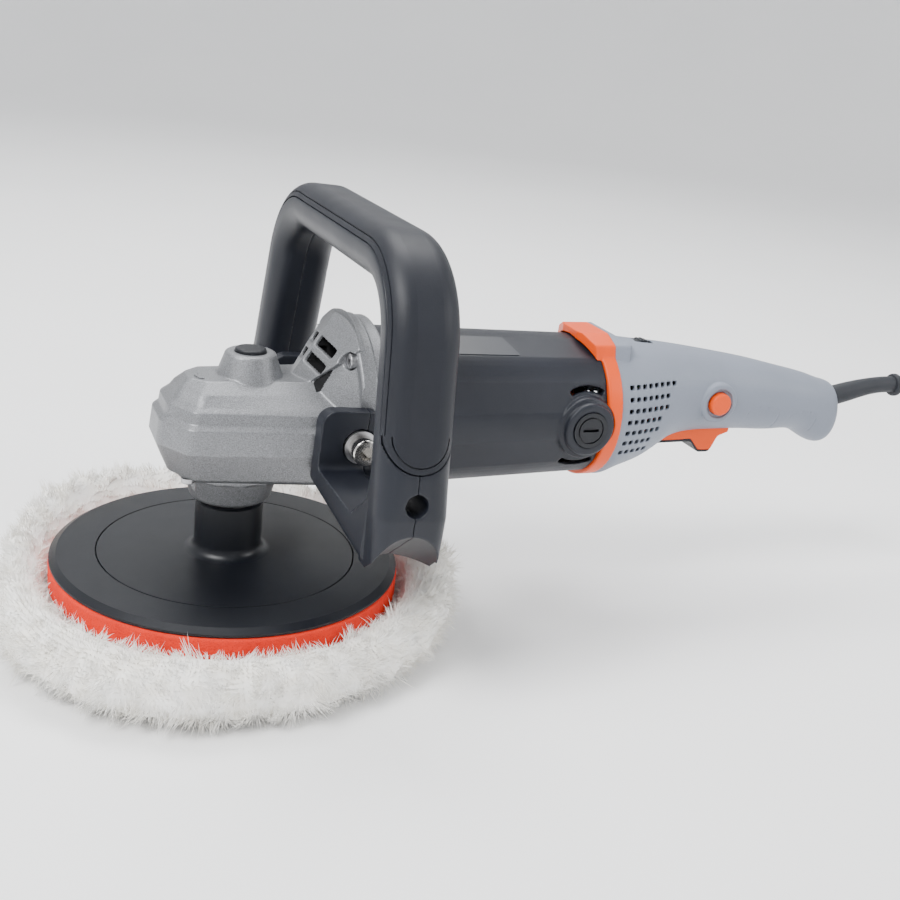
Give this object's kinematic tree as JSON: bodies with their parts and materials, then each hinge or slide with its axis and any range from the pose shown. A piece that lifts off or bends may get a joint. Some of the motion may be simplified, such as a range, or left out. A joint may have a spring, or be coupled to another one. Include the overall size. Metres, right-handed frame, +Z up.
{
  "type": "rotary polisher",
  "caption": "Rotary polisher: round wool pad on a flared backing plate under a cast gear head, D-handle, motor housing, grey grip tail with trigger, speed dial and mains cord.",
  "frame": {"origin": "the middle of the pad's working face, on the spindle axis", "axes": "+Z up along the spindle axis, +X from the gear head along the motor axis to the rear grip, -Y the side of the brush cap with the lock-on button"},
  "size_m": [0.6388, 0.2959, 0.2167],
  "materials": {
    "wool": "deep lambswool pile, matt",
    "foam": "open-cell foam, matt",
    "grip": "hook-and-loop fabric",
    "plate": "satin moulded nylon",
    "cast": "fine-grained die casting, lightly blasted",
    "housing": "satin glass-filled nylon",
    "handle": "satin glass-filled nylon",
    "soft_grip": "soft overmoulding, matt",
    "label": "flat label, light gloss",
    "button": "satin",
    "orange": "satin orange plastic",
    "light_shell": "fine textured light grey nylon",
    "dial": "satin, ribbed",
    "steel": "ground steel",
    "chrome": "polished plating",
    "screw": "zinc-plated steel",
    "boot": "matt",
    "cable": "matt cable jacket",
    "core": "laminated electrical steel",
    "copper": "enamelled copper wire",
    "segment": "turned copper",
    "fan": "moulded nylon",
    "holder": "pressed brass",
    "carbon": "carbon graphite, dull",
    "electric": "moulded thermoset",
    "board": "circuit board"
  },
  "bodies": {
    "machine": {"bearing_cover": "cast", "bearing_cover_screws": "screw", "gear_housing": "cast", "gear_housing_screws": "screw", "bearing_bracket": "cast", "handle_front_shell": "handle", "handle_rear_shell": "handle", "handle_grip": "soft_grip", "handle_bolts": "chrome", "handle_washers": "screw", "handle_screws": "screw", "motor_housing": "housing", "name_plate": "label", "brush_caps": "button", "trim_ring": "orange", "rear_housing_left": "light_shell", "rear_housing_right": "light_shell", "trigger_pin": "steel", "strain_relief": "boot", "cord": "cable", "cord_coil": "cable", "cord_tail": "cable", "plug_body": "boot", "plug_pins": "holder", "spindle_lower_bearing": "steel", "spindle_upper_bearing": "steel", "front_bearing": "steel", "rear_bearing": "steel", "stator_core": "core", "field_windings": "copper", "air_baffle": "fan", "brush_holders": "holder", "carbon_brushes": "carbon", "brush_springs": "steel", "lock_button_spring": "steel", "trigger_spring": "steel", "switch_module": "electric", "speed_board": "board", "cable_clamp": "electric", "rear_housing_screws": "screw"},
    "spindle_group": {"spindle": "steel", "crown_gear": "steel", "backing_plate": "plate", "foam_cushion": "foam", "grip_layer": "grip", "wool_pad": "wool"},
    "armature_group": {"armature_shaft": "steel", "pinion": "steel", "pinion_nut": "steel", "cooling_fan": "fan", "armature_core": "core", "armature_windings": "copper", "commutator": "segment"},
    "lock_button": {"spindle_lock_button": "button"},
    "trigger_group": {"trigger": "orange", "trigger_pad": "button"},
    "lock_on": {"lock_on_button": "orange"},
    "speed_wheel": {"speed_dial": "dial"}
  },
  "joints": [
    {"name": "spindle_spin", "type": "hinge", "parent": "machine", "child": "spindle_group", "pos_m": [0, 0, 0.03], "axis": [0, 0, 1], "continuous": true},
    {"name": "armature_spin", "type": "hinge", "parent": "machine", "child": "armature_group", "pos_m": [0.1, 0, 0.1134], "axis": [1, 0, 0], "continuous": true},
    {"name": "lock_button_press", "type": "slide", "parent": "machine", "child": "lock_button", "axis": [0, 0, -1], "range_m": [0, 0.004], "stiffness_N_per_m": 600, "springref_m": -0.004, "deforming": ["lock_button_spring"]},
    {"name": "trigger_pull", "type": "hinge", "parent": "machine", "child": "trigger_group", "pos_m": [0.2497, 0, 0.109], "axis": [0, -1, 0], "range_deg": [0, 7], "stiffness_Nm_per_rad": 1.2, "springref_deg": -6.88, "deforming": ["trigger_spring"]},
    {"name": "lock_on_press", "type": "slide", "parent": "machine", "child": "lock_on", "axis": [0, 1, 0], "range_m": [0, 0.003], "stiffness_N_per_m": 500, "springref_m": -0.003},
    {"name": "speed_turn", "type": "hinge", "parent": "machine", "child": "speed_wheel", "pos_m": [0.2265, 0, 0.1396], "axis": [0, 1, 0], "range_deg": [-135, 135]}
  ],
  "couplings": [
    {"joint": "armature_spin", "follows": "spindle_spin", "ratio": 3.6}
  ]
}
